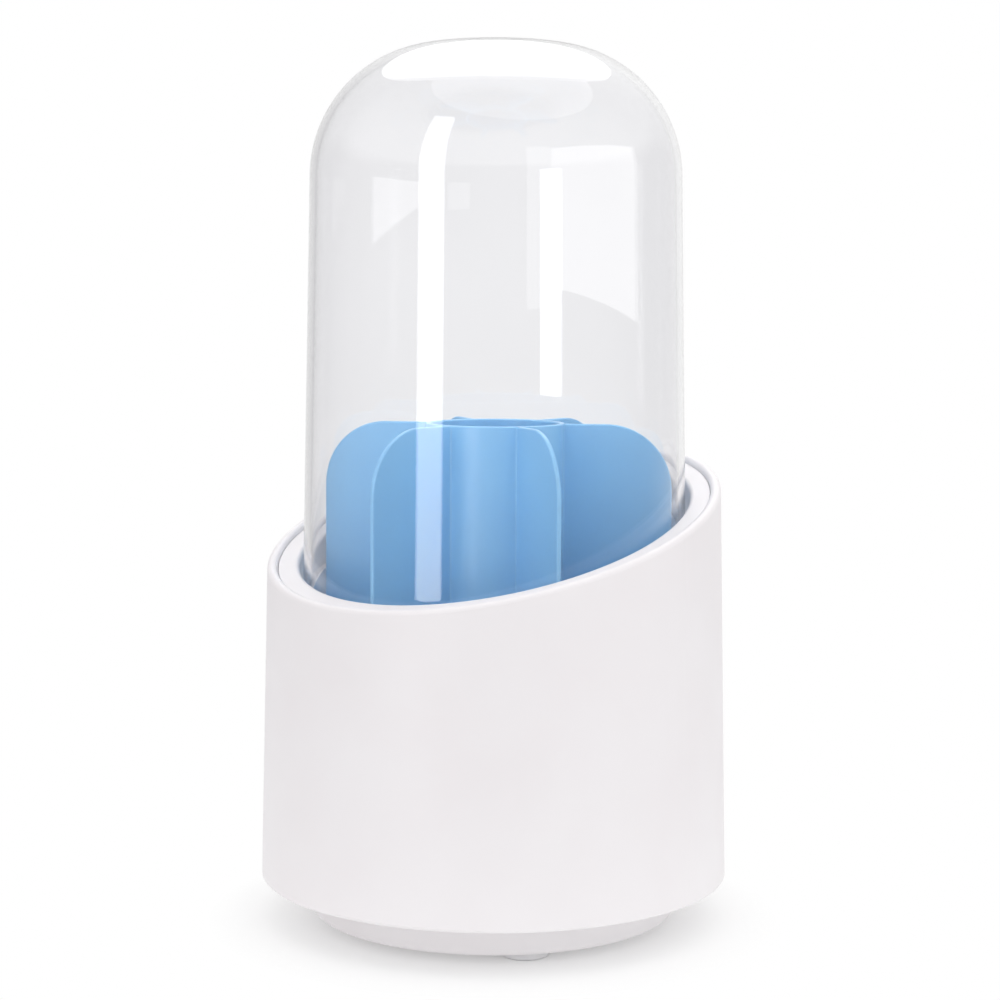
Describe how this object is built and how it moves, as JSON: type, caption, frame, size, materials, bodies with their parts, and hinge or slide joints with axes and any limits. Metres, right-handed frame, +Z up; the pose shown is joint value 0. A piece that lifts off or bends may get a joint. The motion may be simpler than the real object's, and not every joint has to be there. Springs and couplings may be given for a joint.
{
  "type": "brush organizer",
  "caption": "Rotating brush organizer: white cup with a slanted rim on a ball-bearing base, lift-out divider with radial blades and a clear lift-off dome.",
  "frame": {"origin": "on the table, on the turning axis, in the plane of the foot pads' undersides", "axes": "+Z up along the turning axis, +Y toward the high side of the slanted rim"},
  "size_m": [0.12, 0.12, 0.224],
  "materials": {
    "white_plastic": "satin moulded",
    "blue_plastic": "satin moulded",
    "clear_dome": "clear polished acrylic",
    "foot_rubber": "pale matte",
    "cage_plastic": "natural moulded",
    "bearing_steel": "polished",
    "zinc_steel": "zinc plated"
  },
  "bodies": {
    "base": {"turntable_base": "white_plastic", "pivot_washer": "zinc_steel", "pivot_screw": "zinc_steel", "foot_pad_1": "foot_rubber", "foot_pad_2": "foot_rubber", "foot_pad_3": "foot_rubber", "foot_pad_4": "foot_rubber"},
    "bearing": {"ball_cage": "cage_plastic", "bearing_ball_01": "bearing_steel", "bearing_ball_02": "bearing_steel", "bearing_ball_03": "bearing_steel", "bearing_ball_04": "bearing_steel", "bearing_ball_05": "bearing_steel", "bearing_ball_06": "bearing_steel", "bearing_ball_07": "bearing_steel", "bearing_ball_08": "bearing_steel", "bearing_ball_09": "bearing_steel", "bearing_ball_10": "bearing_steel", "bearing_ball_11": "bearing_steel", "bearing_ball_12": "bearing_steel"},
    "cup": {"bottom_plate": "white_plastic", "outer_shell": "white_plastic", "liner": "white_plastic", "plate_screw_1": "zinc_steel", "plate_screw_2": "zinc_steel", "plate_screw_3": "zinc_steel", "plate_screw_4": "zinc_steel"},
    "divider": {"divider_insert": "blue_plastic"},
    "dome": {"dome_cover": "clear_dome"}
  },
  "joints": [
    {"name": "cup_spin", "type": "hinge", "parent": "base", "child": "cup", "pos_m": [0, 0, 0.012], "axis": [0, 0, 1], "continuous": true},
    {"name": "bearing_spin", "type": "hinge", "parent": "base", "child": "bearing", "pos_m": [0, 0, 0.0076], "axis": [0, 0, 1], "continuous": true},
    {"name": "divider_lift", "type": "slide", "parent": "cup", "child": "divider", "axis": [0, 0, 1], "range_m": [0, 0.1]},
    {"name": "dome_lift", "type": "slide", "parent": "divider", "child": "dome", "axis": [0, 0, 1], "range_m": [0, 0.055]}
  ],
  "couplings": [
    {"joint": "bearing_spin", "follows": "cup_spin", "ratio": 0.5}
  ]
}
